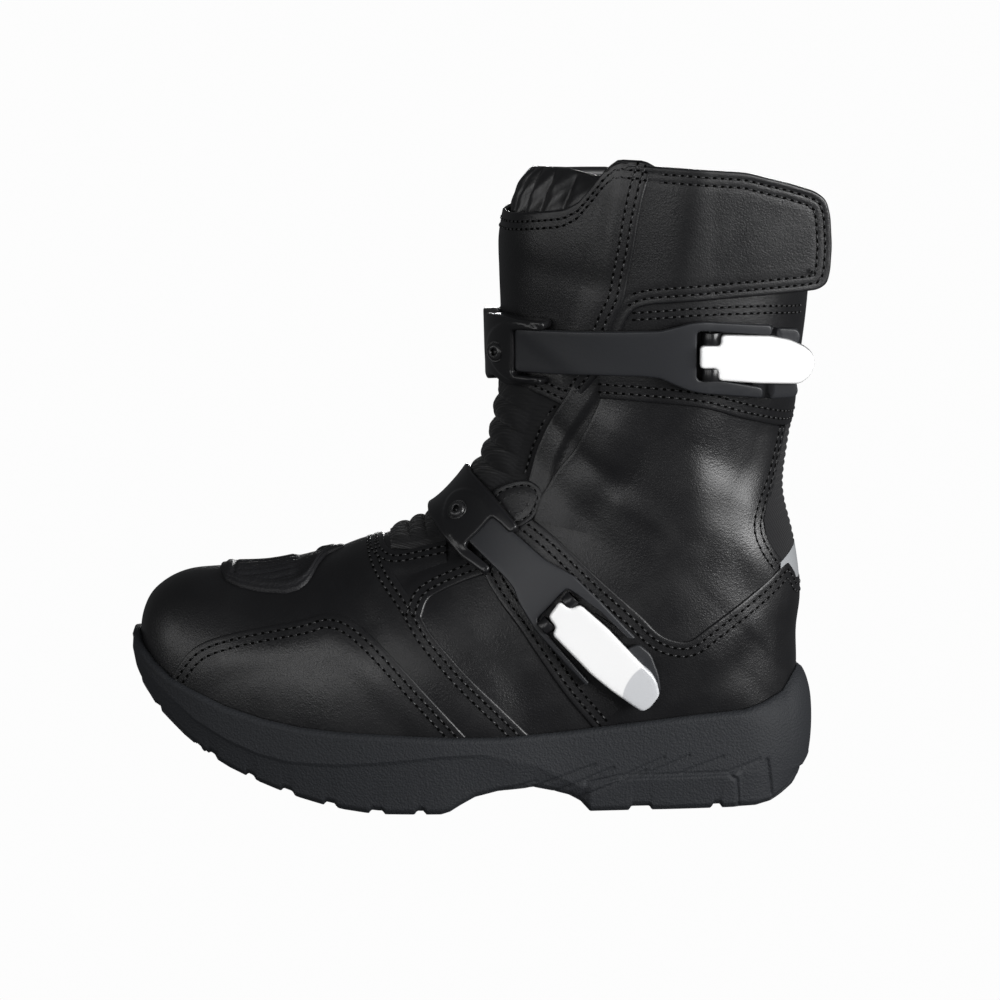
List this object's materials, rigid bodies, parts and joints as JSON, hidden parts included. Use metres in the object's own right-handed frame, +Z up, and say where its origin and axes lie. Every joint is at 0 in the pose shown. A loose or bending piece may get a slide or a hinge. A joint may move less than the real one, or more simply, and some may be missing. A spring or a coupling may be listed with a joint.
{
  "type": "motorcycle boot",
  "caption": "Short black leather adventure motorcycle boot for the left foot, with a padded collar, ribbed ankle bellows, buckled ratchet straps and a lugged rubber sole.",
  "frame": {"origin": "on the ground under the middle of the boot's box", "axes": "+X towards the heel, -X towards the toe, -Y the outer (buckle) side, +Z up"},
  "size_m": [0.3076, 0.1116, 0.2854],
  "materials": {
    "leather": "soft sheen",
    "rubber_sole": "matte",
    "rubber_pad": "matte",
    "fabric": "woven",
    "strap_plastic": "satin",
    "lever_metal": "polished",
    "screw_metal": "black"
  },
  "bodies": {
    "root": {"outsole": "rubber_sole", "shift_pad": "rubber_pad", "upper": "leather", "collar_strap": "leather", "shin_flap": "leather", "toe_wing_lateral": "leather", "toe_wing_medial": "leather", "anchor_panel_lateral": "leather", "anchor_panel_medial": "leather", "heel_counter": "leather", "strap_tab": "leather", "insole": "fabric", "flex_panel": "fabric", "collar_gusset": "fabric", "bracket_high": "strap_plastic", "bracket_low": "strap_plastic", "fork_high": "strap_plastic", "fork_low": "strap_plastic", "base_high": "strap_plastic", "base_low": "strap_plastic", "roller_high_top": "strap_plastic", "roller_high_low": "strap_plastic", "roller_low_top": "strap_plastic", "roller_low_low": "strap_plastic", "lever_high": "lever_metal", "lever_low": "lever_metal", "screw_high": "screw_metal", "screw_low": "screw_metal"}
  },
  "joints": []
}
